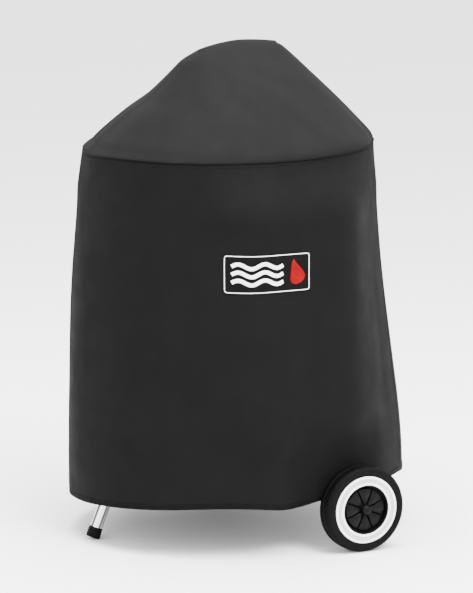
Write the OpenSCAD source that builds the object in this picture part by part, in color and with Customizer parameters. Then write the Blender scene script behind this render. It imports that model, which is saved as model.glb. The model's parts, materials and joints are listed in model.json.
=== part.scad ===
// Kettle charcoal grill on two wheels and one foot, standing under a fitted fabric cover.
// Origin on the floor under the middle of the kettle. The axle lies along Y on the +X side.

/* [Kettle] */
// Outside radius of the bowl at its rim
bowl_r = 280; // [276:1:282]
// Depth of the bowl below its rim
bowl_depth = 240; // [236:1:244]
// Height of the bowl's rim above the floor
rim_z = 700; // [696:1:702]
// Height of the lid's dome above the rim
dome_h = 225; // [218:1:227]
// Thickness of the enamelled steel
sheet = 2; // [1.6:0.1:2.4]

/* [Stand] */
// Diameter of a leg tube
leg_d = 25.4; // [24:0.1:26]
// How far each leg leans outward from the vertical, in degrees
leg_splay = 22.5; // [22:0.1:23]
// Distance from the middle to the foot of a leg
foot_r = 321; // [319:0.5:323]
// Angle of each wheel leg from the +X direction
wheel_leg_angle = 62.8; // [62:0.1:63.6]
// Height of the wire rack
rack_z = 200; // [180:5:240]

/* [Wheels] */
// Diameter of a wheel
wheel_d = 176; // [170:1:178]
// Width of a tyre
tyre_w = 44; // [40:1:45]
// Distance between the outer faces of the two tyres
track_w = 692; // [690:1:694]
// Diameter of the axle
axle_d = 9.52; // [9:0.01:9.8]

/* [Grates] */
// Height of the charcoal grate
charcoal_z = 560; // [556:1:564]
// Height of the cooking grate
cook_z = 685; // [683:1:687]
// Spacing of the cooking grate's bars
cook_pitch = 18; // [18:1:19]

/* [Cover] */
// Radius of the cover at its shoulder seam
shoulder_r = 298; // [297:1:299]
// Height of the shoulder seam
shoulder_z = 800; // [798:1:802]
// Radius of the cover at its hem
hem_r = 352; // [350:1:353]
// Mean height of the hem
hem_z = 98.5; // [94:0.5:101]
// How far the hem rises from one side to the other, each way from the mean
hem_rise = 26; // [18:1:27]
// Height of the top of the cover
cover_top_z = 1004; // [1004:1:1006]
// Thickness of the cloth as built
cloth = 2; // [1.5:0.1:2.4]

/* [Hidden] */
$fn = 96;
wire_fn = 32;
full_turn = 360;

// Clearances
gap = 0.3;
weld_gap = 0.15;
rest_gap = 0.4;
tube_fit = 0.05;
bolt_fit = 0.05;
turn_fit = 0.06;
slot_fit = 0.2;
cut_h = 30;

// Fasteners
bolt_r = 3;
bolt_head_r = 5.5;

// Kettle
bowl_in_r = bowl_r - sheet;
bowl_in_depth = bowl_depth - sheet;
bowl_base_z = rim_z - bowl_depth;
bead_r = 2.5;
shell_steps = 22;
lid_z = rim_z + 2;
lid_r = bowl_r + 3.5;
lid_in_r = lid_r - sheet;
lid_flange_r = bowl_r + 5.5;
lid_flange_drop = 8;
vent_r = 17;
vent_at = 58;
vent_angles = [30, 150, 270];
shaft_r = 4;
shaft_hole_r = shaft_r + turn_fit;

// Lid damper, on the side of the dome away from the wheels
damper_t = 58;
damper_tilt = atan2(cos(damper_t) / lid_r, sin(damper_t) / dome_h);
damper_seat_depth = 4.2;
damper_seat_r = 50;
damper_hole_r = 10;
damper_hole_at = 28;
rivet_r = 3;
disc_t = 1.6;
tab_w = 16;

// Lid handle
lid_grip_len = 116;
lid_grip_r = 11;
lid_grip_z = 985.5;
lid_strap_x = 44;
lid_foot_z = lid_z + dome_h * sqrt(1 - pow(lid_strap_x / lid_r, 2)) + 2;
foot_w = 18;
foot_l = 20;
screw_r = 2.5;
shield_t = 1.2;

// Hook inside the lid
hook_w = 20;
hook_t = 2.5;
hook_y = 258.2;
hook_gap = 14;

// Bowl handles
side_grip_z = 660;
side_grip_y = 318;
side_grip_r = 11;
side_grip_len = 124;
side_strap_x = 50;
side_bolt_y = side_grip_y - 17.5;
strap_t = 3;
strap_h = 16;
strap_from_y = 250;
boss_w = 14;
boss_l = 28;
boss_h = 19;

// Legs
leg_r = leg_d / 2;
leg_angles = [180, wheel_leg_angle, -wheel_leg_angle];
wheel_leg_angles = [wheel_leg_angle, -wheel_leg_angle];
leg_wall = 1.6;
leg_top_z = 478;
socket_from_z = 446;
socket_to_z = 505;
socket_wall = 2.4;
cap_r = leg_r + 1.5;
cap_base = 3.5;
cap_h = 22;
cap_floor = 12;
cap_ribs = 3;
cap_rib = 0.7;
cap_rib_pitch = 4.8;
axle_z = wheel_d / 2;
axle_leg_r = foot_r - axle_z * tan(leg_splay);
axle_x = axle_leg_r * cos(wheel_leg_angle);
leg_y = axle_leg_r * sin(wheel_leg_angle);
axle_r = axle_d / 2;
axle_half = track_w / 2 + 3;
hub_sleeve_y = leg_y + leg_r + 6.5;
retainer_r = 7;
retainer_t = 1.8;
cap_wall = 3.4;

// Wire rack
rack_collar_wall = 3;
rack_collar_h = 10;
rack_pitch = 24;
rack_first = 50;
rack_last = 22;

// Wheels
tyre_out = track_w / 2;
tyre_in = tyre_out - tyre_w;
band_out = 0.775 * wheel_d / 2;
band_in = 0.572 * wheel_d / 2;
rim_r = band_in - 0.1;
bore_r = axle_r + turn_fit;
spokes = 8;
hub_sleeve_r = 13;

// Ash can
can_r = 112;
can_top = 446;
can_h = 106;
can_wall = 1.2;
can_grip_x = 152;
can_grip_z = 410;
clip_angles = [20, 130, 205];
clip_w = 16;
clip_t = 2;
clip_h = 60;
clip_drop = 14;

// Grates
charcoal_r = 213;
charcoal_pitch = 21;
cook_r = 266;
flap_x = 150;
flap_edge_x = 160;
wire_r = 3;
thin_wire_r = 2;
loop_y = 8.5 * cook_pitch;
shelf_w = 18;
shelf_t = 3;
charcoal_shelf_r = 202;
cook_shelf_r = 256;

// Sweeper
lever_angle = -135;
blade_half = 20;

// Cover
ridge_x = 7;
ridge_half = 68;
ridge_r = 24;
top_lean = -12;
hem_lean = 5.5;
hem_turn = 57;
hem_squash = 0.11;
seam_angle_a = -198;
seam_angle_b = -33;
handle_room = 334;
seam_trim = 0.1;
column_step = 3.75;
notch_z = 190;
hem_band = 10;
badge_angle = -102.3;
badge_w = 180;
badge_h = 76;
badge_z = 582;

// ---------- shared shapes ----------

// Points of a quarter ellipse, from its waist to its pole
function quarter(rx, rz, steps) = [for (i = [0 : steps]) [rx * cos(90 * i / steps), rz * sin(90 * i / steps)]];

function reversed(list) = [for (i = [len(list) - 1 : -1 : 0]) list[i]];

// Ramp from 0 to 1 with flat ends
function smooth(t) = let (c = min(1, max(0, t))) c * c * (3 - 2 * c);

// Height of the bowl's inner face at a distance from its axis
function bowl_floor(r) = rim_z - bowl_in_depth * sqrt(1 - pow(r / bowl_in_r, 2));

// Solid outline of the bowl, grown by a clearance, to trim what is welded to it
module bowl_solid(grow) {
    translate([0, 0, rim_z])
        mirror([0, 0, 1])
            rotate_extrude()
                polygon(concat([[0, 0]], quarter(bowl_r + grow, bowl_depth + grow, shell_steps)));
}

// Bar of round section along X, a little thicker in its middle
module turned_bar(length, r, bore) {
    end_r = r * 0.72;
    rotate([0, 90, 0])
        rotate_extrude()
            polygon([
                [bore, -length / 2], [end_r, -length / 2], [r * 0.94, -length / 2 + r * 0.6], [r, 0],
                [r * 0.94, length / 2 - r * 0.6], [end_r, length / 2], [bore, length / 2]
            ]);
}

module tube(r_out, r_in, z0, z1) {
    translate([0, 0, z0])
        difference() {
            cylinder(r = r_out, h = z1 - z0);
            translate([0, 0, -1])
                cylinder(r = r_in, h = z1 - z0 + 2);
        }
}

// Wire between two points
module wire(a, b, r) {
    d = b - a;
    length = norm(d);
    translate(a)
        rotate([0, acos(d[2] / length), atan2(d[1], d[0])])
            cylinder(r = r, h = length, $fn = wire_fn);
}

// Part of a wire ring lying flat
module arc_wire(ring_r, r, from, to) {
    rotate_extrude(angle = to - from, start = from)
        translate([ring_r, 0])
            circle(r = r, $fn = wire_fn);
}

// Places a child on a leg's centre line: local Z runs up the leg from the floor
module on_leg(angle) {
    rotate([0, 0, angle])
        translate([foot_r, 0, 0])
            rotate([0, -leg_splay, 0])
                children();
}

function along_leg(z) = z / cos(leg_splay);

function leg_point(angle, z) = [
    (foot_r - z * tan(leg_splay)) * cos(angle), (foot_r - z * tan(leg_splay)) * sin(angle), z
];

// Places a child on the wheel axis, with local Z pointing outward along Y
module on_axle(side) {
    translate([axle_x, 0, axle_z])
        rotate([side > 0 ? -90 : 90, 0, 0])
            children();
}

module on_damper() {
    translate([-lid_r * cos(damper_t), 0, lid_z + dome_h * sin(damper_t)])
        rotate([0, -damper_tilt, 0])
            children();
}

module ring_of(count) {
    for (i = [0 : count - 1])
        rotate([0, 0, full_turn * i / count])
            children();
}

// ---------- bowl and stand ----------

module bowl() {
    color("#1d1e20")
        difference() {
            union() {
                translate([0, 0, rim_z])
                    mirror([0, 0, 1])
                        rotate_extrude()
                            polygon(concat(
                                quarter(bowl_r, bowl_depth, shell_steps),
                                reversed(quarter(bowl_in_r, bowl_in_depth, shell_steps))
                            ));
                translate([0, 0, rim_z])
                    rotate_extrude()
                        translate([bowl_r, 0])
                            circle(r = bead_r, $fn = wire_fn);
            }
            translate([0, 0, bowl_base_z - cut_h / 3])
                cylinder(r = shaft_hole_r, h = cut_h);
            for (a = vent_angles)
                rotate([0, 0, a])
                    translate([vent_at, 0, bowl_base_z - cut_h / 3])
                        cylinder(r = vent_r, h = cut_h);
        }
}

module leg_sockets() {
    color("#232426")
        difference() {
            for (a = leg_angles)
                on_leg(a)
                    tube(leg_r + socket_wall, leg_r + tube_fit, along_leg(socket_from_z), along_leg(socket_to_z));
            bowl_solid(weld_gap);
        }
}

module leg_foot() {
    color("#c9cbcd")
        on_leg(180)
            tube(leg_r, leg_r - leg_wall, along_leg(cap_floor), along_leg(leg_top_z));
}

module wheel_leg(angle) {
    color("#c9cbcd")
        difference() {
            on_leg(angle)
                tube(leg_r, leg_r - leg_wall, along_leg(axle_z - 18), along_leg(leg_top_z));
            on_axle(angle)
                translate([0, 0, leg_y - cut_h])
                    cylinder(r = axle_r + tube_fit, h = 2 * cut_h);
        }
}

// The cap is cut square, so it stands on the inner edge of its base
module leg_cap() {
    color("#17181a")
        difference() {
            on_leg(180)
                difference() {
                    union() {
                        translate([0, 0, cap_base])
                            cylinder(r = cap_r, h = cap_h);
                        for (i = [0 : cap_ribs - 1])
                            translate([0, 0, cap_base + cap_rib_pitch * (i + 1)])
                                cylinder(r = cap_r + cap_rib, h = cap_rib_pitch / 2);
                    }
                    translate([0, 0, along_leg(cap_floor) - gap])
                        cylinder(r = leg_r + tube_fit, h = cap_h);
                }
            translate([-foot_r - 50, -50, -50])
                cube([100, 100, 50]);
        }
}

module axle() {
    color("#b9bbbe")
        translate([axle_x, axle_half, axle_z])
            rotate([90, 0, 0])
                cylinder(r = axle_r, h = 2 * axle_half);
}

module axle_retainers() {
    color("#8d9094")
        for (side = [-1, 1])
            on_axle(side)
                tube(retainer_r, axle_r + 0.02, tyre_out + 0.6, tyre_out + 0.6 + retainer_t);
}

module wire_rack() {
    points = [for (a = leg_angles) leg_point(a, rack_z)];
    corner = points[1];
    back = points[0];
    slope = corner[1] / (corner[0] - back[0]);
    color("#b4b6b9") {
        difference() {
            union() {
                for (i = [0 : 2])
                    wire(points[i], points[(i + 1) % 3], wire_r);
                for (a = leg_angles)
                    on_leg(a)
                        translate([0, 0, along_leg(rack_z) - rack_collar_h / 2])
                            cylinder(r = leg_r + rack_collar_wall, h = rack_collar_h);
            }
            for (a = leg_angles)
                on_leg(a)
                    translate([0, 0, along_leg(rack_z) - cut_h])
                        cylinder(r = leg_r + 0.1, h = 2 * cut_h);
        }
        for (x = [back[0] + rack_first : rack_pitch : corner[0] - rack_last])
            let (y = slope * (x - back[0]), z = rack_z + wire_r)
                wire([x, -y, z], [x, y, z], thin_wire_r);
    }
}

// Small shelf welded to the inside of the bowl
module shelf(angle, r_in, top_z) {
    difference() {
        rotate([0, 0, angle])
            translate([r_in, -shelf_w / 2, top_z - shelf_t])
                cube([bowl_in_r - r_in, shelf_w, shelf_t]);
        difference() {
            translate([0, 0, top_z - cut_h / 2])
                cylinder(r = bowl_r + cut_h, h = cut_h);
            translate([0, 0, rim_z])
                mirror([0, 0, 1])
                    rotate_extrude()
                        polygon(concat(
                            [[0, 0]],
                            quarter(bowl_in_r - gap, bowl_in_depth - gap, shell_steps)
                        ));
        }
    }
}

module charcoal_supports() {
    color("#3a3b3d")
        for (a = [90, 210, 330])
            shelf(a, charcoal_shelf_r, charcoal_z - wire_r - rest_gap);
}

module cooking_supports() {
    color("#3a3b3d")
        for (a = [20, 160, 200, 340])
            shelf(a, cook_shelf_r, cook_z - wire_r - rest_gap);
}

module ash_can_clips() {
    color("#a9abad")
        difference() {
            for (a = clip_angles)
                rotate([0, 0, a])
                    translate([can_r + 2.4, -clip_w / 2, can_top - clip_drop])
                        cube([clip_t, clip_w, clip_h]);
            bowl_solid(weld_gap);
        }
}

// Two steel straps welded to the bowl, which carry a side handle
module handle_straps(side) {
    color("#2b2c2e")
        difference() {
            for (x = [-side_strap_x, side_strap_x])
                translate([x - strap_t / 2, side > 0 ? strap_from_y : -side_grip_y + 2, side_grip_z - strap_h / 2])
                    cube([strap_t, side_grip_y - strap_from_y - 2, strap_h]);
            bowl_solid(weld_gap);
            side_bolt_holes(side);
        }
}

module side_bolt_holes(side) {
    for (x = [-side_strap_x, side_strap_x])
        translate([x - cut_h / 2, side * side_bolt_y, side_grip_z])
            rotate([0, 90, 0])
                cylinder(r = bolt_r + bolt_fit, h = cut_h, $fn = wire_fn);
}

module handle_grip(side) {
    color("#151517")
        difference() {
            union() {
                translate([0, side * side_grip_y, side_grip_z])
                    turned_bar(side_grip_len, side_grip_r, 0);
                for (x = [-side_strap_x, side_strap_x])
                    translate([
                        x - boss_w / 2, side > 0 ? side_grip_y + 2 - boss_l : -side_grip_y - 2, side_grip_z - boss_h / 2
                    ])
                        cube([boss_w, boss_l, boss_h]);
            }
            for (x = [-side_strap_x, side_strap_x])
                translate([
                    x - strap_t / 2 - slot_fit, side > 0 ? side_grip_y - 40 : -side_grip_y - 0.5,
                    side_grip_z - strap_h / 2 - slot_fit
                ])
                    cube([strap_t + 2 * slot_fit, 40.5, strap_h + 2 * slot_fit]);
            side_bolt_holes(side);
        }
}

module handle_bolts() {
    color("#9a9c9f")
        for (side = [-1, 1], x = [-side_strap_x, side_strap_x])
            translate([x, side * side_bolt_y, side_grip_z])
                rotate([0, x > 0 ? 90 : -90, 0]) {
                    translate([0, 0, -boss_w / 2])
                        cylinder(r = bolt_r, h = boss_w + gap + 0.2, $fn = wire_fn);
                    translate([0, 0, boss_w / 2 + gap])
                        cylinder(r = bolt_head_r, h = 2.6, $fn = wire_fn);
                }
}

// ---------- wheels ----------

module wheel_tyre(side) {
    r = wheel_d / 2;
    color("#1b1b1c")
        on_axle(side)
            rotate_extrude()
                polygon([
                    [rim_r + 0.4, tyre_in + 4], [band_out, tyre_in], [r - 6, tyre_in], [r - 1.5, tyre_in + 3],
                    [r, tyre_in + 10], [r, tyre_out - 12], [r - 1.5, tyre_out - 5], [r - 7, tyre_out - 1],
                    [band_out + 1, tyre_out - 1], [band_out + 0.2, tyre_out - 3], [rim_r + 0.4, tyre_out - 3]
                ]);
}

module wheel_band(side) {
    color("#eceae6")
        on_axle(side)
            rotate_extrude()
                polygon([
                    [band_in, tyre_out - 2.8], [band_out, tyre_out - 2.8], [band_out, tyre_out - 0.4],
                    [band_out - 1.5, tyre_out], [band_in + 1.5, tyre_out], [band_in, tyre_out - 0.8]
                ]);
}

module wheel_hub(side) {
    web_out = tyre_out - 9;
    web_t = 5;
    spoke_w = 9;
    color("#1e1e20")
        on_axle(side)
            difference() {
                union() {
                    tube(rim_r, rim_r - 4, tyre_in + 4, tyre_out - 0.5);
                    translate([0, 0, web_out - web_t])
                        cylinder(r = rim_r - 2, h = web_t);
                    translate([0, 0, hub_sleeve_y])
                        cylinder(r = hub_sleeve_r, h = tyre_out - 2 - hub_sleeve_y);
                    ring_of(spokes)
                        translate([spoke_w, -spoke_w / 2, web_out - 1])
                            cube([rim_r - spoke_w - 3, spoke_w, 6]);
                }
                translate([0, 0, hub_sleeve_y - 1])
                    cylinder(r = bore_r, h = tyre_out - hub_sleeve_y);
                translate([0, 0, tyre_out - 2])
                    cylinder(r = hub_sleeve_r + 7, h = 10);
            }
}

module wheel_cap(side) {
    r_in = retainer_r + 0.5;
    r_out = r_in + cap_wall;
    color("#242426")
        on_axle(side)
            rotate_extrude()
                polygon([
                    [r_in, tyre_out - 1.7], [r_out, tyre_out - 1.7], [r_out, tyre_out + 4], [r_out - 2.5, tyre_out + 6.2],
                    [0, tyre_out + 7], [0, tyre_out + 4], [r_in, tyre_out + 3.6]
                ]);
}

// ---------- lid ----------

module lid_shell() {
    color("#1d1e20")
        difference() {
            union() {
                translate([0, 0, lid_z])
                    rotate_extrude()
                        polygon(concat(
                            [
                                [lid_flange_r - sheet, -lid_flange_drop], [lid_flange_r, -lid_flange_drop],
                                [lid_flange_r, 2.6]
                            ],
                            quarter(lid_r, dome_h, shell_steps),
                            reversed(quarter(lid_in_r, dome_h - sheet, shell_steps)),
                            [[bowl_r - 3, 2.6], [bowl_r - 3, 0.8], [lid_flange_r - sheet, 0.8]]
                        ));
                on_damper()
                    translate([0, 0, -damper_seat_depth - sheet])
                        cylinder(r = damper_seat_r + sheet, h = sheet);
            }
            on_damper() {
                translate([0, 0, -damper_seat_depth])
                    cylinder(r = damper_seat_r, h = cut_h);
                ring_of(4)
                    translate([damper_hole_at, 0, -cut_h / 2])
                        cylinder(r = damper_hole_r, h = cut_h, $fn = 48);
                translate([0, 0, -cut_h / 2])
                    cylinder(r = rivet_r + 0.04, h = cut_h, $fn = wire_fn);
            }
            for (x = [-lid_strap_x, lid_strap_x])
                translate([x, 0, rim_z + 200])
                    cylinder(r = bolt_r + 0.1, h = 2 * cut_h, $fn = wire_fn);
        }
}

module lid_handle_strap() {
    top_z = lid_grip_z - lid_grip_r - gap;
    color("#2b2c2e")
        difference() {
            for (side = [-1, 1])
                translate([side * lid_strap_x, 0, 0]) {
                    translate([-foot_w / 2, -foot_l / 2, lid_foot_z])
                        cube([foot_w, foot_l, 2.5]);
                    translate([side > 0 ? foot_w / 2 - strap_t : -foot_w / 2, -foot_l / 2, lid_foot_z])
                        cube([strap_t, foot_l, top_z - lid_foot_z]);
                    translate([-foot_w / 2, -foot_l / 2, top_z - strap_t])
                        cube([foot_w, foot_l, strap_t]);
                }
            for (x = [-lid_strap_x, lid_strap_x])
                translate([x, 0, lid_foot_z - 5])
                    cylinder(r = bolt_r + 0.1, h = 80, $fn = wire_fn);
        }
}

module lid_handle_grip() {
    color("#151517")
        difference() {
            translate([0, 0, lid_grip_z])
                turned_bar(lid_grip_len, lid_grip_r, 0);
            for (x = [-lid_strap_x, lid_strap_x])
                translate([x, 0, lid_grip_z - 20])
                    cylinder(r = screw_r + 0.1, h = 21, $fn = wire_fn);
        }
}

module lid_heat_shield() {
    z = lid_z + dome_h + 22;
    half_x = lid_strap_x - 10;
    half_y = 24;
    lip = 6;
    tab = lid_strap_x + foot_w / 2 - strap_t - half_x;
    color("#9fa1a4") {
        translate([-half_x, -half_y, z])
            cube([2 * half_x, 2 * half_y, shield_t]);
        for (side = [-1, 1])
            translate([-half_x, side * half_y - (side > 0 ? 0 : shield_t), z - lip])
                cube([2 * half_x, shield_t, lip + shield_t]);
        for (x = [-half_x - tab, half_x])
            translate([x, -lip, z])
                cube([tab, 2 * lip, shield_t]);
    }
}

module lid_handle_bolts() {
    under_grip = lid_grip_z - lid_grip_r;
    color("#9a9c9f")
        for (x = [-lid_strap_x, lid_strap_x])
            translate([x, 0, 0]) {
                translate([0, 0, lid_foot_z - 12])
                    cylinder(r = bolt_r, h = 17, $fn = wire_fn);
                translate([0, 0, lid_foot_z + 2.8])
                    cylinder(r = bolt_head_r, h = 4, $fn = 6);
                translate([0, 0, lid_foot_z - 13])
                    cylinder(r = bolt_head_r, h = 4, $fn = wire_fn);
                translate([0, 0, under_grip - 8])
                    cylinder(r = 2 * screw_r, h = 4.4, $fn = wire_fn);
                translate([0, 0, under_grip - 4])
                    cylinder(r = screw_r, h = 14, $fn = wire_fn);
            }
}

// Hook inside the lid, which hangs it on the bowl's rim
module lid_hook() {
    z = lid_z + 36;
    color("#2b2c2e")
        translate([-hook_w / 2, hook_y, z]) {
            translate([0, hook_gap - 1, 0])
                cube([hook_w, hook_t, 14]);
            cube([hook_w, hook_gap, hook_t]);
            cube([hook_w, hook_t, 12]);
        }
}

module damper_rivet() {
    color("#b4b6b9")
        on_damper()
            translate([0, 0, -damper_seat_depth]) {
                translate([0, 0, -sheet - 1])
                    cylinder(r = rivet_r, h = sheet + 4.5, $fn = wire_fn);
                translate([0, 0, -sheet - gap - 2])
                    cylinder(r = 2 * rivet_r, h = 2, $fn = wire_fn);
                translate([0, 0, gap + disc_t + gap])
                    cylinder(r = 2 * rivet_r, h = 1.8, $fn = wire_fn);
            }
}

module damper_disc() {
    base = -damper_seat_depth + gap;
    color("#c4c6c8")
        on_damper()
            difference() {
                union() {
                    translate([0, 0, base])
                        cylinder(r = damper_seat_r - 3, h = disc_t);
                    rotate([0, 0, 45])
                        translate([damper_seat_r - 10, -tab_w / 2, base])
                            cube([2, tab_w, 12]);
                }
                ring_of(4)
                    translate([damper_hole_at, 0, base - 5])
                        cylinder(r = damper_hole_r, h = cut_h, $fn = 48);
                translate([0, 0, base - 5])
                    cylinder(r = rivet_r + 0.05, h = cut_h, $fn = wire_fn);
            }
}

// ---------- grates ----------

function chord(ring, at) = sqrt(max(0, ring * ring - at * at));

module charcoal_grate() {
    count = floor((charcoal_r - 8) / charcoal_pitch);
    color("#6e6f71") {
        translate([0, 0, charcoal_z])
            rotate_extrude()
                translate([charcoal_r, 0])
                    circle(r = wire_r, $fn = wire_fn);
        for (i = [-count : count])
            let (x = i * charcoal_pitch, y = chord(charcoal_r, x))
                wire([x, -y, charcoal_z], [x, y, charcoal_z], wire_r - 0.2);
        for (y = [-60, 60])
            let (x = chord(charcoal_r, y))
                wire([-x, y, charcoal_z - 4], [x, y, charcoal_z - 4], wire_r - 0.2);
    }
}

module grate_frame() {
    limit = acos(flap_x / cook_r);
    count = floor((cook_r - 8) / cook_pitch);
    color("#b9bbbe") {
        translate([0, 0, cook_z])
            for (side = [0, 180])
                arc_wire(cook_r, wire_r, side + limit, side + 180 - limit);
        for (x = [-flap_x, flap_x])
            let (y = chord(cook_r, x))
                wire([x, -y, cook_z], [x, y, cook_z], wire_r);
        for (i = [-count : count])
            let (y = i * cook_pitch, x = min(flap_x, chord(cook_r, y)))
                wire([-x, y, cook_z], [x, y, cook_z], thin_wire_r);
        for (x = [-75, 0, 75])
            let (y = chord(cook_r, x))
                wire([x, -y, cook_z - 2], [x, y, cook_z - 2], thin_wire_r);
        for (side = [-1, 1]) {
            y = side * (cook_r - 8);
            for (x = [-40, 40])
                wire([x, y, cook_z], [x, y, cook_z + 14], wire_r - 0.2);
            wire([-42, y, cook_z + 14], [42, y, cook_z + 14], wire_r - 0.2);
        }
    }
}

// Hinged end of the cooking grate, which lifts to feed the coals
module grate_flap(side) {
    limit = acos(flap_edge_x / cook_r);
    edge_y = chord(cook_r, flap_edge_x);
    count = floor((edge_y - 8) / cook_pitch);
    color("#b9bbbe")
        mirror([side > 0 ? 0 : 1, 0, 0])
            difference() {
                union() {
                    translate([0, 0, cook_z])
                        arc_wire(cook_r, wire_r, -limit, limit);
                    wire([flap_edge_x, -edge_y, cook_z], [flap_edge_x, edge_y, cook_z], wire_r);
                    for (i = [-count : count])
                        let (y = i * cook_pitch)
                            wire([flap_edge_x, y, cook_z], [chord(cook_r, y), y, cook_z], thin_wire_r);
                    for (y = [-loop_y, loop_y]) {
                        translate([flap_x, y + 4, cook_z])
                            rotate([90, 0, 0])
                                cylinder(r = 6, h = 8);
                        wire([flap_x, y, cook_z], [flap_edge_x, y, cook_z], wire_r);
                    }
                }
                for (y = [-loop_y, loop_y])
                    translate([flap_x, y + 10, cook_z])
                        rotate([90, 0, 0])
                            cylinder(r = wire_r + 0.06, h = 20, $fn = wire_fn);
            }
}

// ---------- sweeper and ash can ----------

module sweeper_shaft() {
    color("#a9abad") {
        translate([0, 0, rim_z - bowl_depth - 19])
            cylinder(r = shaft_r, h = 30);
        translate([0, 0, rim_z - bowl_depth + 10.8])
            cylinder(r = 7, h = 3);
    }
}

module sweeper_blades() {
    steps = 5;
    r0 = 12;
    r1 = 92;
    line = [for (i = [0 : steps]) r0 + (r1 - r0) * i / steps];
    color("#a9abad") {
        tube(14, shaft_r + 0.04, rim_z - bowl_depth + 3.4, rim_z - bowl_depth + 10.5);
        for (a = vent_angles)
            rotate_extrude(angle = 2 * blade_half, start = a - blade_half)
                polygon(concat(
                    [for (r = line) [r, bowl_floor(r) + 0.8]],
                    [for (r = reversed(line)) [r, bowl_floor(r) + 2.4]]
                ));
    }
}

module sweeper_lever() {
    z = rim_z - bowl_depth - 13;
    color("#a9abad")
        rotate([0, 0, lever_angle])
            difference() {
                union() {
                    translate([0, 0, z])
                        cylinder(r = 11, h = 3);
                    translate([0, -6, z])
                        cube([222, 12, 3]);
                }
                translate([0, 0, z - 5])
                    cylinder(r = shaft_r + 0.04, h = 20);
            }
}

module sweeper_grip() {
    z = rim_z - bowl_depth - 11.5;
    color("#151517")
        rotate([0, 0, lever_angle])
            difference() {
                translate([218, 0, z])
                    turned_bar(50, 11, 0);
                translate([185, -6.2, z - 1.7])
                    cube([38, 12.4, 3.4]);
            }
}

module sweeper_clip() {
    color("#8d9094")
        tube(6.5, shaft_r + 0.02, rim_z - bowl_depth - 15, rim_z - bowl_depth - 13.4);
}

module ash_can() {
    base = can_top - can_h;
    foot = can_r - 14;
    color("#a4a6a8")
        rotate_extrude()
            polygon([
                [0, base], [foot, base], [can_r, base + 22], [can_r, can_top - 3], [can_r + 2, can_top - 2],
                [can_r + 2, can_top], [can_r - can_wall, can_top], [can_r - can_wall, base + 22.5],
                [foot - 0.8, base + can_wall], [0, base + can_wall]
            ]);
}

module can_handle_wire() {
    color("#b4b6b9") {
        for (y = [-34, 34]) {
            wire([chord(can_r, y) + 0.2 + wire_r, y, can_grip_z], [can_grip_x, y, can_grip_z], wire_r);
            translate([chord(can_r, y) + 4.4, y, can_grip_z])
                cube([2.5, 14, 14], center = true);
        }
        wire([can_grip_x, -37, can_grip_z], [can_grip_x, 37, can_grip_z], wire_r);
    }
}

module can_handle_grip() {
    color("#151517")
        translate([can_grip_x, 0, can_grip_z])
            rotate([0, 0, 90])
                turned_bar(58, 9, wire_r + 0.08);
}

// ---------- cover ----------

// Share of the way down from the shoulder seam
function drop(z) = min(1, max(0, (shoulder_z - z) / (shoulder_z - hem_z)));

// The side walls stand a little off centre at the shoulder
function lean(z) = top_lean + (hem_lean - top_lean) * smooth((drop(z) - 0.3) / 0.7);

// Angle between two directions, 0 to 180
function turn_between(a, b) = abs(((a - b) % full_turn + full_turn + 180) % full_turn - 180);

// The walls stand out over the two side handles and stay flat below them, to pass them on the way up
function bulge(a) = 1 - smooth((min(turn_between(a, 90), turn_between(a, -90)) - 14) / 30);

// The skirt is a little narrower across the wheels than along the kettle
function wall_r(a, z) = let (
    round_r = shoulder_r + (hem_r - shoulder_r) * pow(drop(z), 0.9),
    plain = round_r * (1 - hem_squash * drop(z) * pow(sin(a), 2)),
    reach = max(0, handle_room / max(0.5, abs(sin(a))) - plain) * smooth((shoulder_z - z) / 120)
) plain + reach * bulge(a);

// The hem rises over each wheel
function over_wheel(a) = let (off = min(turn_between(a, 68), turn_between(a, -68))) 1 - smooth((off - 20) / 8);

function hem_at(a) = let (plain = hem_z + hem_rise * cos(a + hem_turn)) plain + (notch_z - plain) * over_wheel(a);

function wall_point(a, z, out) = [lean(z) + (wall_r(a, z) + out) * cos(a), (wall_r(a, z) + out) * sin(a), z];

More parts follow.
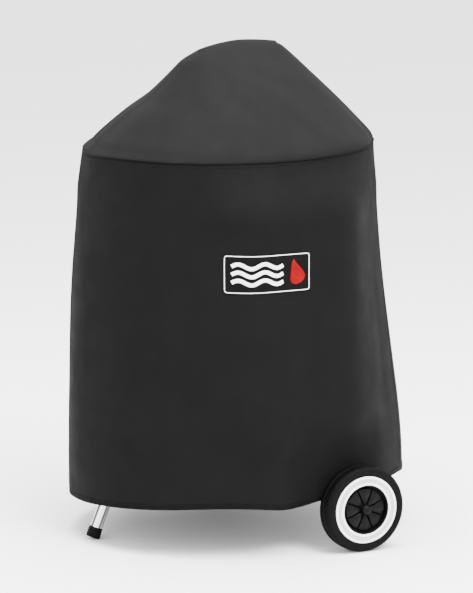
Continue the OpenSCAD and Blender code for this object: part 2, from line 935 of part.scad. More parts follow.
// Closed sheet between two angles: columns of points on the outer and the inner face.
// low and high give each column's end heights as [offset from the hem, fixed height].
module wall_sheet(a0, a1, columns, rows, low, high, out, thick) {
    closed = abs(a1 - a0) >= full_turn;
    width = closed ? columns : columns + 1;
    function height(a, row) = let (
        bottom = low[1] > 0 ? low[1] : hem_at(a) + low[0],
        top = high[1] > 0 ? high[1] : hem_at(a) + high[0]
    ) bottom + (top - bottom) * row / rows;
    trim = closed ? 0 : seam_trim;
    function angle(column) =
        a0 + (a1 - a0) * column / columns + (column == 0 ? trim : column == columns ? -trim : 0);
    function index(face, column, row) = face * width * (rows + 1) + (column % width) * (rows + 1) + row;
    points = [
        for (face = [0, 1], column = [0 : width - 1], row = [0 : rows])
            wall_point(angle(column), height(angle(column), row), face == 0 ? out : out - thick)
    ];
    outer = [
        for (c = [0 : columns - 1], r = [0 : rows - 1])
            each [
                [index(0, c, r), index(0, c, r + 1), index(0, c + 1, r + 1)],
                [index(0, c, r), index(0, c + 1, r + 1), index(0, c + 1, r)]
            ]
    ];
    inner = [
        for (c = [0 : columns - 1], r = [0 : rows - 1])
            each [
                [index(1, c, r), index(1, c + 1, r + 1), index(1, c, r + 1)],
                [index(1, c, r), index(1, c + 1, r), index(1, c + 1, r + 1)]
            ]
    ];
    edges = [
        for (c = [0 : columns - 1])
            each [
                [index(0, c, 0), index(0, c + 1, 0), index(1, c + 1, 0)],
                [index(0, c, 0), index(1, c + 1, 0), index(1, c, 0)],
                [index(0, c, rows), index(1, c + 1, rows), index(0, c + 1, rows)],
                [index(0, c, rows), index(1, c, rows), index(1, c + 1, rows)]
            ]
    ];
    ends = closed ? [] : [
        for (r = [0 : rows - 1])
            each [
                [index(0, 0, r), index(1, 0, r), index(1, 0, r + 1)],
                [index(0, 0, r), index(1, 0, r + 1), index(0, 0, r + 1)],
                [index(0, columns, r), index(1, columns, r + 1), index(1, columns, r)],
                [index(0, columns, r), index(0, columns, r + 1), index(1, columns, r + 1)]
            ]
    ];
    polyhedron(points = points, faces = concat(outer, inner, edges, ends));
}

// Stretched from the shoulder ring up to the ridge over the lid's handle
module tent(grow) {
    bottom = shoulder_z + 2.8;
    hull() {
        translate([top_lean, 0, bottom - (grow < 0 ? 1 : 0)])
            cylinder(r = shoulder_r + grow, h = 1, $fn = 64);
        translate([0, 0, shoulder_z + 21 + grow])
            cylinder(r = shoulder_r - 11 + grow, h = 1, $fn = 64);
        for (side = [-1, 1])
            translate([ridge_x + side * ridge_half, 0, cover_top_z - 9 + grow])
                rotate_extrude($fn = wire_fn)
                    polygon([[0, 0], [ridge_r + grow, 0], [ridge_r - 6, 6], [ridge_r - 15, 9], [0, 9]]);
    }
}

module cover_top() {
    color("#48484b")
        difference() {
            tent(0);
            tent(-cloth);
        }
}

module cover_side_front() {
    color("#333335")
        wall_sheet(
            seam_angle_a, seam_angle_b, (seam_angle_b - seam_angle_a) / column_step, 12,
            [hem_band + 0.4, 0], [0, shoulder_z - 2.8], 0, cloth
        );
}

module cover_side_back() {
    color("#333335")
        wall_sheet(
            seam_angle_b, seam_angle_a + full_turn, (seam_angle_a + full_turn - seam_angle_b) / column_step, 12,
            [hem_band + 0.4, 0], [0, shoulder_z - 2.8], 0, cloth
        );
}

module cover_hem() {
    color("#1c1c1e")
        wall_sheet(
            seam_angle_a, seam_angle_a + full_turn, full_turn / column_step, 1,
            [0, 0], [hem_band, 0], 0.6, cloth + 1.2
        );
}

module cover_piping() {
    color("#1c1c1e")
        translate([top_lean, 0, shoulder_z])
            rotate_extrude()
                translate([shoulder_r - 1, 0])
                    circle(r = 2.5, $fn = wire_fn);
}

module cover_badge() {
    half = badge_w / 2 / wall_r(badge_angle, badge_z) * 180 / PI;
    color("#161617")
        wall_sheet(
            badge_angle - half, badge_angle + half, 14, 4,
            [0, badge_z - badge_h / 2], [0, badge_z + badge_h / 2], 1.5, 1.2
        );
}

// ---------- every node ----------

bowl();
leg_sockets();
leg_foot();
wheel_leg(-wheel_leg_angle);  // leg_wheel_front
wheel_leg(wheel_leg_angle);  // leg_wheel_rear
leg_cap();
axle();
axle_retainers();
wire_rack();
charcoal_supports();
cooking_supports();
ash_can_clips();
handle_straps(-1);  // handle_front_straps
handle_grip(-1);  // handle_front_grip
handle_straps(1);  // handle_rear_straps
handle_grip(1);  // handle_rear_grip
handle_bolts();
wheel_tyre(-1);  // wheel_front_tyre
wheel_band(-1);  // wheel_front_band
wheel_hub(-1);  // wheel_front_hub
wheel_cap(-1);  // wheel_front_cap
wheel_tyre(1);  // wheel_rear_tyre
wheel_band(1);  // wheel_rear_band
wheel_hub(1);  // wheel_rear_hub
wheel_cap(1);  // wheel_rear_cap
lid_shell();
lid_handle_strap();
lid_handle_grip();
lid_heat_shield();
lid_handle_bolts();
lid_hook();
damper_rivet();
damper_disc();
charcoal_grate();
grate_frame();
grate_flap(1);  // grate_flap_right
grate_flap(-1);  // grate_flap_left
sweeper_shaft();
sweeper_blades();
sweeper_lever();
sweeper_grip();
sweeper_clip();
ash_can();
can_handle_wire();
can_handle_grip();
cover_top();
cover_side_front();
cover_side_back();
cover_hem();
cover_piping();
cover_badge();
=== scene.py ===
"""Kettle charcoal grill under a fitted fabric cover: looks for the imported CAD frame. Units are metres."""
import json
import math

import bpy
from mathutils import Matrix, Vector, noise


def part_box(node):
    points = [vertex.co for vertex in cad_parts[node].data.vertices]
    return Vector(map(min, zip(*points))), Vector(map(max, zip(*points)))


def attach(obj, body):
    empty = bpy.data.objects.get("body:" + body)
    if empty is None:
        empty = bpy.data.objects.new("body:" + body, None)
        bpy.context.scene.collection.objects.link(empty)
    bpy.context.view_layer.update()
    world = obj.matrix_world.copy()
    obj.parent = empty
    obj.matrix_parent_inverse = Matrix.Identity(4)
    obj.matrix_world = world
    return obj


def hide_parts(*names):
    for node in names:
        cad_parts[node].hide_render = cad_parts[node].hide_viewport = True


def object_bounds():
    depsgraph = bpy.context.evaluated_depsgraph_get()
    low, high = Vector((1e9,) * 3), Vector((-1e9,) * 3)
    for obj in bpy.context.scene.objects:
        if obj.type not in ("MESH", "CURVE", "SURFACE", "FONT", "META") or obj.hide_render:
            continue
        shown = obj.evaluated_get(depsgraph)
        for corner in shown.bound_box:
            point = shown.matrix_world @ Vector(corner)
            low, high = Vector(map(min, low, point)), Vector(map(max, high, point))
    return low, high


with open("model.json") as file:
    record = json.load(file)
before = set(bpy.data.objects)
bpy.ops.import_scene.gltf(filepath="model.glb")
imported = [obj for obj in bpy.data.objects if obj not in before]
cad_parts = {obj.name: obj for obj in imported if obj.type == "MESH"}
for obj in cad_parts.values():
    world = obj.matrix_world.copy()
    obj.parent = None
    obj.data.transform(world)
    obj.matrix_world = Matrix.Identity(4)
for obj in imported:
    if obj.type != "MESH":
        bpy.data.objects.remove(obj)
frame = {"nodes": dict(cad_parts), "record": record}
CAD_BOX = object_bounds()

# ---------------------------------------------------------------- sizes from the frame


def span(node):
    low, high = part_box(node)
    return Vector(low), Vector(high)


LID_LOW, LID_HIGH = span("lid_shell")
BOWL_LOW, BOWL_HIGH = span("bowl")
PIPE_LOW, PIPE_HIGH = span("cover_piping")
TYRE_LOW, TYRE_HIGH = span("wheel_front_tyre")
CAP_LOW, CAP_HIGH = span("wheel_front_cap")

SHEET = 0.002                # steel of the bowl and the lid
BEAD_R = 0.0025              # rolled bead round the bowl's rim
LID_OVERLAP = 0.0035         # the dome is this much wider than the bowl
BOWL_RIM_Z = BOWL_HIGH.z - BEAD_R
BOWL_R = BOWL_HIGH.x - BEAD_R
BOWL_DEPTH = BOWL_RIM_Z - BOWL_LOW.z
LID_Z = BOWL_RIM_Z + SHEET
DOME_H = LID_HIGH.z - LID_Z
DOME_R = BOWL_R + LID_OVERLAP
FLANGE_R = LID_HIGH.x
AXLE = Vector(((TYRE_LOW.x + TYRE_HIGH.x) / 2, 0.0, (TYRE_LOW.z + TYRE_HIGH.z) / 2))
TYRE_R = (TYRE_HIGH.z - TYRE_LOW.z) / 2
TYRE_OUT = -TYRE_LOW.y
TYRE_IN = -TYRE_HIGH.y
BAND_OUT = 0.775 * TYRE_R
BAND_IN = 0.572 * TYRE_R
HUB_R = BAND_IN - 0.0001

# Shoulder seam
SEAM_Z = (PIPE_LOW.z + PIPE_HIGH.z) / 2
SEAM_X = (PIPE_LOW.x + PIPE_HIGH.x) / 2
SEAM_R = (PIPE_HIGH.x - PIPE_LOW.x) / 2 - 0.0015
SIDE_SEAMS = (-198.0, -33.0)  # where the two side panels meet, in degrees
PUCKER = -185.0              # the piping sags here, beside a side seam

# Hem
HEM_R = 0.348
HEM_Z = 0.0985               # mean height
HEM_RISE = 0.026             # higher on the wheel side, lower opposite
HEM_TURN = 57.0              # turns the highest place away from +X
HEM_LEAN = 0.009             # centre of the hem in X
HEM_SQUASH = 0.115           # narrower across Y, as a share
HEM_DIP = 0.022              # sag in the middle of the front
HEM_CORNER = 0.008           # sag at the right edge
HUB_CLEAR_Z = 0.106          # the hem stays above this at the hubs

# Cloth over the bowl's side handles
HANDLE_ROOM = 0.334          # inside distance from the middle, past the grips
HANDLE_WIDEN = 0.055         # added beside the grip, as a share
HANDLE_WIDEN_TURN = 24.0
HANDLE_FLAT = 12.0           # full room up to this turn from the handle
HANDLE_FADE = 34.0           # and none after this much more
HANDLE_TOP_FADE = 0.122      # height in which the room opens under the seam
HANDLE_LOW_Z = 0.17          # the room starts here, so the lid can rise with the cover on
HANDLE_LOW_FADE = 0.11

# Cloth drawn in behind the wheels
TUCK_TOP = 0.30
TUCK_FADE = 0.11
TUCK_GAP = 0.008             # between the cloth and the tyre's inner face
TUCK_SOFT = 0.035            # rounding where the cloth starts to be held in
TUCK_BEFORE, TUCK_BEFORE_FADE = 0.100, 0.084
TUCK_BEHIND, TUCK_BEHIND_FADE = 0.075, 0.065

FRONT_TURN = 26.0            # the camera stands this far to the left of the front, in degrees
LEFT_EDGE = -212.0           # edges of the cover as the camera sees it
RIGHT_EDGE = -24.0

# Ridge over the lid's handle
RIDGE_Z = CAD_BOX[1][2] + 0.002
RIDGE_X = 0.010
RIDGE_HALF = 0.066
RIDGE_R = 0.022

CLOTH = 0.0012
CLOTH_REACH = 0.33           # radius used to turn degrees into metres of cloth
TAPE = 0.010                 # width of the hem binding
LAP, LAP_TURN = 0.0009, 1.8  # the front panel lies over the back one at a side seam

BADGE_ANGLE = -102.3
BADGE_Z = 0.582
BADGE_W = 0.180
BADGE_H = 0.076
BADGE_CORNER = 0.0065
BADGE_OUT = 0.0016           # face of the patch above the wall
THREAD_OUT = 0.0015          # foot of the embroidery above the wall
THREAD_THICK = 0.0006

LEG_SPLAY = 22.5             # lean of the legs, in degrees
WHEEL_LEG = 62.8             # turn of the two wheel legs from +X

ROUND_STEPS = 240            # steps round the bowl and the lid
WHEEL_STEPS = 192            # steps round the band and the hub's shell
WELD_GAP = 1e-6

# ---------------------------------------------------------------- small tools


def smooth(t):
    t = min(1.0, max(0.0, t))
    return t * t * (3.0 - 2.0 * t)


def lerp(a, b, t):
    return a + (b - a) * t


def turn_between(a, b):
    return abs((a - b + 180.0) % 360.0 - 180.0)


def soft_noise(x, y, z, scale):
    return noise.noise(Vector((x / scale, y / scale, z / scale)))


def make(name, verts, faces, material, body, replaces=(), slot=None, uvs=None):
    mesh = bpy.data.meshes.new(name)
    mesh.from_pydata([tuple(v) for v in verts], [], faces)
    mesh.validate()
    if uvs:
        layer = mesh.uv_layers.new(name="cloth")
        for loop in mesh.loops:
            layer.data[loop.index].uv = uvs[loop.vertex_index]
    for face in mesh.polygons:
        face.use_smooth = True
    mesh.materials.append(material)
    obj = bpy.data.objects.new(name, mesh)
    bpy.context.scene.collection.objects.link(obj)
    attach(obj, body)
    if replaces:
        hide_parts(*replaces)
    return obj


def grid_faces(columns, rows, wrap=False, flip=False):
    """Quads over columns of rows points; wrap joins the last column to the first."""
    faces = []
    for c in range(columns if wrap else columns - 1):
        n = (c + 1) % columns
        for r in range(rows - 1):
            quad = (c * rows + r, n * rows + r, n * rows + r + 1, c * rows + r + 1)
            faces.append(quad[::-1] if flip else quad)
    return faces


def lathe(profile, steps, place=Matrix(), closed=False):
    """Turns (radius, height) points about local Z. closed joins the profile's end to its start."""
    verts = []
    for i in range(steps):
        a = 2 * math.pi * i / steps
        verts += [place @ Vector((r * math.cos(a), r * math.sin(a), h)) for r, h in profile]
    rows = len(profile)
    faces = grid_faces(steps, rows, wrap=True)
    if closed:
        for i in range(steps):
            n = (i + 1) % steps
            faces.append((i * rows + rows - 1, n * rows + rows - 1, n * rows, i * rows))
    return verts, faces


def join_parts(*parts):
    verts, faces = [], []
    for part_verts, part_faces in parts:
        base = len(verts)
        verts += part_verts
        faces += [tuple(i + base for i in face) for face in part_faces]
    return verts, faces


def sweep(points, radius, sides=8, closed=False):
    """Round tube along points; closed joins its ends."""
    count = len(points)
    verts, faces = [], []
    side = None
    for i, p in enumerate(points):
        after = points[(i + 1) % count] if closed or i < count - 1 else p
        before = points[i - 1] if closed or i > 0 else p
        along = (after - before).normalized()
        side = along.orthogonal() if side is None else side - along * side.dot(along)
        side.normalize()
        up = along.cross(side)
        for k in range(sides):
            a = 2 * math.pi * k / sides
            verts.append(p + radius * (math.cos(a) * side + math.sin(a) * up))
    for i in range(count if closed else count - 1):
        n = (i + 1) % count
        for k in range(sides):
            m = (k + 1) % sides
            faces.append((i * sides + k, i * sides + m, n * sides + m, n * sides + k))
    if not closed:
        faces.append(tuple(range(sides))[::-1])
        faces.append(tuple((count - 1) * sides + k for k in range(sides)))
    return verts, faces


def add_modifier(obj, kind, **settings):
    modifier = obj.modifiers.new(kind.title(), kind)
    for key, value in settings.items():
        setattr(modifier, key, value)
    return modifier


# ---------------------------------------------------------------- materials


class Surface:
    """A Principled material with a few helpers for procedural detail."""

    def __init__(self, name, color, rough, metal=0.0, coords="Object"):
        self.material = bpy.data.materials.new(name)
        self.material.use_nodes = True
        self.tree = self.material.node_tree
        self.shader = self.tree.nodes["Principled BSDF"]
        self.shader.inputs["Base Color"].default_value = (*color, 1.0)
        self.shader.inputs["Roughness"].default_value = rough
        self.shader.inputs["Metallic"].default_value = metal
        self.coords = self.add("ShaderNodeTexCoord").outputs[coords]
        self.height = None

    def add(self, kind, **settings):
        node = self.tree.nodes.new(kind)
        for key, value in settings.items():
            setattr(node, key, value)
        return node

    def link(self, source, target):
        self.tree.links.new(source, target)

    def set(self, **values):
        for key, value in values.items():
            self.shader.inputs[key.replace("_", " ")].default_value = value
        return self

    def math(self, operation, a, b=None):
        node = self.add("ShaderNodeMath", operation=operation)
        for socket, value in zip(node.inputs, (a, b)):
            if value is None:
                continue
            if isinstance(value, (int, float)):
                socket.default_value = value
            else:
                self.link(value, socket)
        return node.outputs[0]

    def scaled(self, scale):
        node = self.add("ShaderNodeMapping")
        node.inputs["Scale"].default_value = scale
        self.link(self.coords, node.inputs["Vector"])
        return node.outputs[0]

    def noise(self, size, detail=4.0, stretch=(1, 1, 1)):
        """Noise from 0 to 1 whose features are about size metres across."""
        node = self.add("ShaderNodeTexNoise")
        node.inputs["Scale"].default_value = 1.0
        node.inputs["Detail"].default_value = detail
        self.link(self.scaled([s / size for s in stretch]), node.inputs["Vector"])
        return node.outputs["Fac"]

    def ramp(self, value, low, high, out_low, out_high):
        node = self.add("ShaderNodeMapRange")
        for key, number in zip(
            ("From Min", "From Max", "To Min", "To Max"), (low, high, out_low, out_high)
        ):
            node.inputs[key].default_value = number
        self.link(value, node.inputs["Value"])
        return node.outputs["Result"]

    def tint(self, value, dark, light, low=0.3, high=0.7):
        """Base colour runs from dark to light as value runs from low to high."""
        node = self.add("ShaderNodeMix", data_type="RGBA")
        node.inputs["A"].default_value = (*dark, 1.0)
        node.inputs["B"].default_value = (*light, 1.0)
        self.link(self.ramp(value, low, high, 0.0, 1.0), node.inputs["Factor"])
        self.link(node.outputs["Result"], self.shader.inputs["Base Color"])
        return self

    def gloss(self, value, rough_low, rough_high):
        self.link(self.ramp(value, 0.3, 0.7, rough_low, rough_high), self.shader.inputs["Roughness"])
        return self

    def relief(self, value, depth):
        """Adds value times depth, in metres, to the bump."""
        part = self.math("MULTIPLY", value, depth)
        self.height = part if self.height is None else self.math("ADD", self.height, part)
        return self

    def mixed(self, a, b, share):
        """share of a and the rest of b."""
        return self.math("ADD", self.math("MULTIPLY", a, share), self.math("MULTIPLY", b, 1 - share))

    def done(self):
        if self.height is not None:
            bump = self.add("ShaderNodeBump")
            bump.inputs["Strength"].default_value = 1.0
            bump.inputs["Distance"].default_value = 1.0
            self.link(self.height, bump.inputs["Height"])
            self.link(bump.outputs["Normal"], self.shader.inputs["Normal"])
        return self.material


def cloth_material(name, dark, light, rough, thread=0.0016):
    """Coated polyester: a plain weave, faint dust and slightly uneven sheen."""
    s = Surface(name, light, rough, coords="UV")
    split = s.add("ShaderNodeSeparateXYZ")
    s.link(s.coords, split.inputs["Vector"])
    turn = 2 * math.pi / thread
    warp = s.math("SINE", s.math("MULTIPLY", split.outputs["X"], turn))
    weft = s.math("SINE", s.math("MULTIPLY", split.outputs["Y"], turn))
    s.relief(s.math("MULTIPLY", warp, weft), 0.00007)
    s.relief(s.noise(0.012, 5.0), 0.00025)
    s.relief(s.noise(0.09, 3.0), 0.0008)
    s.tint(s.mixed(s.noise(0.16, 5.0), s.noise(0.003, 2.0), 0.75), dark, light)
    s.gloss(s.noise(0.05, 4.0), rough - 0.06, rough + 0.06)
    s.set(Specular_IOR_Level=0.035)
    return s.done()


def tape_material(name, dark, light, rough, shine=0.1):
    """Ribbed binding tape, thread or embroidery."""
    s = Surface(name, light, rough).set(Specular_IOR_Level=shine)
    s.relief(s.noise(0.0012, 2.0, stretch=(1, 1, 0.3)), 0.0003)
    s.tint(s.noise(0.02, 5.0), dark, light)
    s.gloss(s.noise(0.01, 3.0), rough - 0.08, rough + 0.08)
    return s.done()


def enamel_material(name, color):
    """Porcelain enamel: deep gloss, very light orange peel and a few dull smudges."""
    s = Surface(name, color, 0.12)
    s.relief(s.noise(0.006, 2.0), 0.00006)
    s.gloss(s.noise(0.07, 6.0), 0.07, 0.22)
    s.tint(s.noise(0.12, 4.0), [c * 0.8 for c in color], [c * 1.25 for c in color])
    return s.set(Specular_IOR_Level=0.16, Coat_Weight=0.12, Coat_Roughness=0.05).done()


def metal_material(
    name, dark, light, rough_low, rough_high, stretch=(1, 1, 1), grain=0.004, depth=0.00003
):
    """Bare or plated metal with a directional grain, smudges and uneven gloss."""
    s = Surface(name, light, rough_low, metal=1.0)
    fine = s.noise(grain, 3.0, stretch)
    s.relief(fine, depth)
    s.tint(s.mixed(fine, s.noise(0.05, 5.0), 0.4), dark, light)
    s.gloss(s.noise(0.03, 6.0), rough_low, rough_high)
    return s.done()


def leg_material_painted_reflections(name, azimuth):
    """Polished tube: bright and dark streaks painted into the base colour stand for reflections, and run
    along the leg whichever way it leans.
    """
    s = Surface(name, grey(0.7), 0.12, metal=1.0)
    for turn in ((0, 0, -math.radians(azimuth)), (0, math.radians(LEG_SPLAY), 0)):
        node = s.add("ShaderNodeMapping")
        node.inputs["Rotation"].default_value = turn
        s.link(s.coords, node.inputs["Vector"])
        s.coords = node.outputs[0]
    # painted reflections: long bright and dark streaks in the base colour along the leg
    painted_reflection_streaks = s.noise(0.007, 2.0, (1, 1, 0.01))
    s.relief(s.noise(0.002, 3.0, (1, 1, 0.03)), 0.00002)
    s.tint(painted_reflection_streaks, grey(0.06), grey(0.86), 0.40, 0.56)
    s.gloss(s.noise(0.03, 6.0), 0.08, 0.20)
    return s.done()


def moulded_material(name, dark, light, rough, grain=0.0009, depth=0.00006, shine=0.3):
    """Moulded plastic or rubber: spark-eroded texture, faint handling marks."""
    s = Surface(name, light, rough).set(Specular_IOR_Level=shine)
    s.relief(s.noise(grain, 2.0), depth)
    s.tint(s.noise(0.03, 6.0), dark, light)
    s.gloss(s.noise(0.015, 5.0), rough - 0.1, rough + 0.1)
    return s.done()


def painted_material(name, color, rough):
    """Satin paint on steel with a little orange peel."""
    s = Surface(name, color, rough).set(Specular_IOR_Level=0.12)
    s.relief(s.noise(0.003, 2.0), 0.00005)
    s.tint(s.noise(0.04, 6.0), [c * 0.7 for c in color], [c * 1.4 for c in color])
    s.gloss(s.noise(0.02, 4.0), rough - 0.1, rough + 0.12)
    return s.done()


def floor_material():
    s = Surface("studio_floor", (0.93, 0.93, 0.93), 0.6)
    s.tint(s.noise(0.8, 2.0), (0.92, 0.92, 0.92), (0.95, 0.95, 0.95))
    s.set(Specular_IOR_Level=0.1)
    return s.done()


def grey(value):
    return (value, value, value * 1.03)


M = {
    "cloth": cloth_material("cover_cloth", grey(0.0035), grey(0.0044), 0.80),
    # painted light: the top panel is the same cloth as the sides, given a lighter colour because light falls
    # on it from above
    "top_cloth_painted_lighter": cloth_material("cover_cloth_top", grey(0.0051), grey(0.0061), 0.80),
    "tape": tape_material("cover_tape", grey(0.0018), grey(0.0030), 0.8, 0.04),
    "thread": tape_material("cover_thread", grey(0.0040), grey(0.0065), 0.7, 0.06),
    "badge": tape_material("badge_cloth", grey(0.0028), grey(0.0037), 0.8, 0.03),
    "white_thread": tape_material("badge_white_thread", grey(0.84), grey(0.92), 0.6, 0.3),
    "red_thread": tape_material(
        "badge_red_thread", (0.13, 0.0003, 0.0020), (0.18, 0.0005, 0.0030), 0.7, 0.03
    ),
    "enamel": enamel_material("black_enamel", grey(0.006)),
    # the three tube finishes carry painted reflections along the legs
    "foot_tube": leg_material_painted_reflections("polished_tube_foot", 180.0),
    "front_tube": leg_material_painted_reflections("polished_tube_front", -WHEEL_LEG),
    "rear_tube": leg_material_painted_reflections("polished_tube_rear", WHEEL_LEG),
    "aluminium": metal_material(
        "aluminium_sheet", grey(0.26), grey(0.38), 0.30, 0.46, (0.15, 1, 1), 0.003, 0.00004
    ),
    "plated": metal_material("plated_wire", grey(0.24), grey(0.38), 0.20, 0.36),
    "zinc": metal_material("zinc_steel", grey(0.22), grey(0.34), 0.28, 0.44),
    "grate": metal_material(
        "heated_steel", (0.07, 0.06, 0.055), (0.15, 0.145, 0.14), 0.42, 0.62, grain=0.006, depth=0.0001
    ),
    "painted": painted_material("painted_steel", grey(0.010), 0.40),
    "nylon": moulded_material("black_nylon", grey(0.003), grey(0.005), 0.52, shine=0.10),
    "wheel": moulded_material("wheel_plastic", grey(0.0016), grey(0.0028), 0.45, shine=0.06),
    "tread": moulded_material("tyre_plastic", grey(0.0010), grey(0.0018), 0.6, 0.0014, 0.0001, 0.05),
    "band": moulded_material("white_plastic", grey(0.88), grey(0.93), 0.38, 0.0012, 0.00003, 0.5),
    # painted shade: the groove in the white ring is coloured mid grey, darker than the ring's own white
    "band_groove_painted_shade": moulded_material("band_groove_painted_shade", grey(0.40), grey(0.46), 0.45, 0.0012, 0.00003, 0.5),
    "rubber": moulded_material("cap_rubber", grey(0.0008), grey(0.0016), 0.5, shine=0.06),
}

# ---------------------------------------------------------------- the shape of the cover


def drop(z):
    """Share of the way from the shoulder seam down to the hem."""
    return min(1.0, max(0.0, (SEAM_Z - z) / (SEAM_Z - HEM_Z)))


def spread(z):
    """How far the wall has opened from shoulder to hem: evenly at first, then it hangs upright."""
    d = drop(z)
    return 1.345 * d - 0.04 * smooth(d / 0.1) - 2.43 * max(0.0, d - 0.72) ** 2


def lean(z):
    return SEAM_X + (HEM_LEAN - SEAM_X) * smooth((drop(z) - 0.3) / 0.7)


def seam_height(angle):
    """The shoulder seam hangs a little lower at the front than at the back."""
    a = math.radians(angle)
    across, toward = math.radians(FRONT_TURN), math.radians(FRONT_TURN + 90)
    tilt = 0.004 * math.cos(a + across) - 0.008 * math.cos(a + toward)
    off = (angle - PUCKER + 180.0) % 360.0 - 180.0
    dip = 0.005 * math.exp(-((off / (16.0 if off > 0 else 6.0)) ** 2))
    dip += 0.006 * math.exp(-((turn_between(angle, LEFT_EDGE) / 25) ** 2))
    return SEAM_Z + 0.0015 + tilt - dip


def off_handle(angle):
    """Turn from the nearer side handle, in degrees."""
    return min(turn_between(angle, 90), turn_between(angle, -90))


def over_handle(angle):
    """1 in front of a side handle, 0 well beside it."""
    return 1 - smooth((off_handle(angle) - HANDLE_FLAT) / HANDLE_FADE)


def at_side_seam(angle, width):
    """1 on a side seam, fading over width degrees."""
    off = min(turn_between(angle, s) for s in SIDE_SEAMS)
    return math.exp(-((off / width) ** 2))


def wall_radius(angle, z):
    """Distance of the cloth from the leaning centre line, with its folds and unevenness."""
    a = math.radians(angle)
    plain = (SEAM_R + (HEM_R - SEAM_R) * spread(z)) * (1 - HEM_SQUASH * drop(z) * math.sin(a) ** 2)
    below = SEAM_Z - z
    room = HANDLE_ROOM * (1 + HANDLE_WIDEN * smooth(off_handle(angle) / HANDLE_WIDEN_TURN))
    opened = smooth((z - HANDLE_LOW_Z) / HANDLE_LOW_FADE)
    reach = max(0.0, room - plain) * smooth(below / HANDLE_TOP_FADE) * opened
    radius = plain + reach * over_handle(angle)
    x, y = math.cos(a) * CLOTH_REACH, math.sin(a) * CLOTH_REACH
    free = smooth(below / 0.10)
    radius += 0.0040 * free * soft_noise(x, y, z * 0.35, 0.17)
    radius += 0.0016 * free * soft_noise(x, y, z * 0.25 + 7, 0.065)
    radius -= 0.0050 * at_side_seam(angle, 3.2) * math.exp(-((below / 0.022) ** 2))
    radius -= 0.0035 * math.exp(-((turn_between(angle, LEFT_EDGE) / 12) ** 2) - (below / 0.025) ** 2)
    radius += 0.0026 * at_side_seam(angle, 5.0) * math.exp(-(((SEAM_Z - 0.075 - z) / 0.040) ** 2))
    return radius


def hem_height(angle):
    """The hem hangs higher on the wheel side and clears both hubs."""
    plain = HEM_Z + HEM_RISE * math.cos(math.radians(angle + HEM_TURN))
    plain -= HEM_DIP * math.exp(-((turn_between(angle, -90) / 21) ** 2))
    plain -= HEM_CORNER * math.exp(-((turn_between(angle, RIGHT_EDGE) / 9) ** 2))
    near_hub = 1 - smooth((min(turn_between(angle, 66), turn_between(angle, -66)) - 8) / 16)
    return plain + max(0.0, HUB_CLEAR_Z - plain) * near_hub


def tuck(p):
    """The cloth passes behind each wheel, so it is drawn in there."""
    behind = TYRE_IN - TUCK_GAP
    near = max(0.0, TUCK_SOFT - abs(abs(p.y) - behind)) / TUCK_SOFT
    held = min(abs(p.y), behind) - near * near * TUCK_SOFT / 4
    reach = smooth((p.x - (AXLE.x - TYRE_R - TUCK_BEFORE)) / TUCK_BEFORE_FADE)
    reach *= smooth((AXLE.x + TYRE_R + TUCK_BEHIND - p.x) / TUCK_BEHIND_FADE)
    share = reach * smooth((TUCK_TOP - p.z) / TUCK_FADE)
    p.y += share * (math.copysign(held, p.y) - p.y)
    return p


def wall_point(angle, z, out=0.0):
    """Point on the side wall, out metres off it."""
    a = math.radians(angle)
    r = wall_radius(angle, z) + out
    p = Vector((lean(z) + r * math.cos(a), r * math.sin(a), z))
    return tuck(p) if z < TUCK_TOP else p


def ridge_height(x):
    """The ridge arches over the lid's handle and droops at its left end."""
    off = x - (RIDGE_X + 0.006)
    return RIDGE_Z - (0.005 * (off / 0.080) ** 2 if off > 0 else 0.0145 * (-off / 0.096) ** 1.6)


def ridge_point(angle):
    """Point of the stadium-shaped edge over the lid's handle."""
    a = math.radians(angle)
    along = max(-1.0, min(1.0, math.cos(a) * 1.7))
    along = math.copysign(1 - (1 - abs(along)) ** 1.6, along)
    return Vector((RIDGE_X + RIDGE_HALF * along + RIDGE_R * math.cos(a), RIDGE_R * math.sin(a), 0))


def curve(points, count):
    """Smooth curve through points (Catmull-Rom), count points in all."""
    out = []
    ends = [points[0]] + list(points) + [points[-1]]
    for i in range(count):
        t = i / (count - 1) * (len(points) - 1)
        k = min(int(t), len(points) - 2)
        u = t - k
        p0, p1, p2, p3 = ends[k : k + 4]
        point = []
        for a, b, c, d in zip(p0, p1, p2, p3):
            square, cube = 2 * a - 5 * b + 4 * c - d, 3 * b - a - 3 * c + d
            point.append(0.5 * (2 * b + (c - a) * u + square * u * u + cube * u**3))
        out.append(tuple(point))
    return out


# Share of the distance from the ridge to the seam, and share of the rise from the seam to the ridge
LEFT_PROFILE = [
    (1.0, 0.0), (0.938, 0.062), (0.885, 0.130), (0.757, 0.261), (0.617, 0.391), (0.455, 0.522),
    (0.344, 0.640), (0.223, 0.783), (0.150, 0.870), (0.080, 0.925), (0.0, 0.980)
]
RIGHT_PROFILE = [
    (1.0, 0.0), (0.985, 0.055), (0.940, 0.115), (0.815, 0.246), (0.660, 0.406), (0.492, 0.570),
    (0.308, 0.740), (0.165, 0.872), (0.060, 0.962), (0.0, 0.995)
]
TOP_ROWS = 64
LEFT_CURVE = curve(LEFT_PROFILE, TOP_ROWS)
RIGHT_CURVE = curve(RIGHT_PROFILE, TOP_ROWS)


def top_shares(angle, row):
    """The top falls straight to the seam on the left and turns down to it on the right."""
    left = smooth((turn_between(angle, -FRONT_TURN) - 50) / 110)
    return [lerp(b, a, left) for a, b in zip(LEFT_CURVE[row], RIGHT_CURVE[row])]


def top_point(angle, across, rise):
    """Point on the top panel, across from the ridge to the seam and rise from the seam up."""
    a = math.radians(angle)
    r = wall_radius(angle, SEAM_Z)
    ring = Vector((SEAM_X + r * math.cos(a), r * math.sin(a), 0))
    edge = ridge_point(angle)
    p = edge.lerp(ring, across)
    p.z = lerp(seam_height(angle), ridge_height(edge.x), rise)
    slack = math.sin(math.pi * min(1, max(0, across)))
    p.z += 0.0040 * slack * soft_noise(p.x, p.y, 3.0, 0.13)
    return p


# ---------------------------------------------------------------- cover pieces


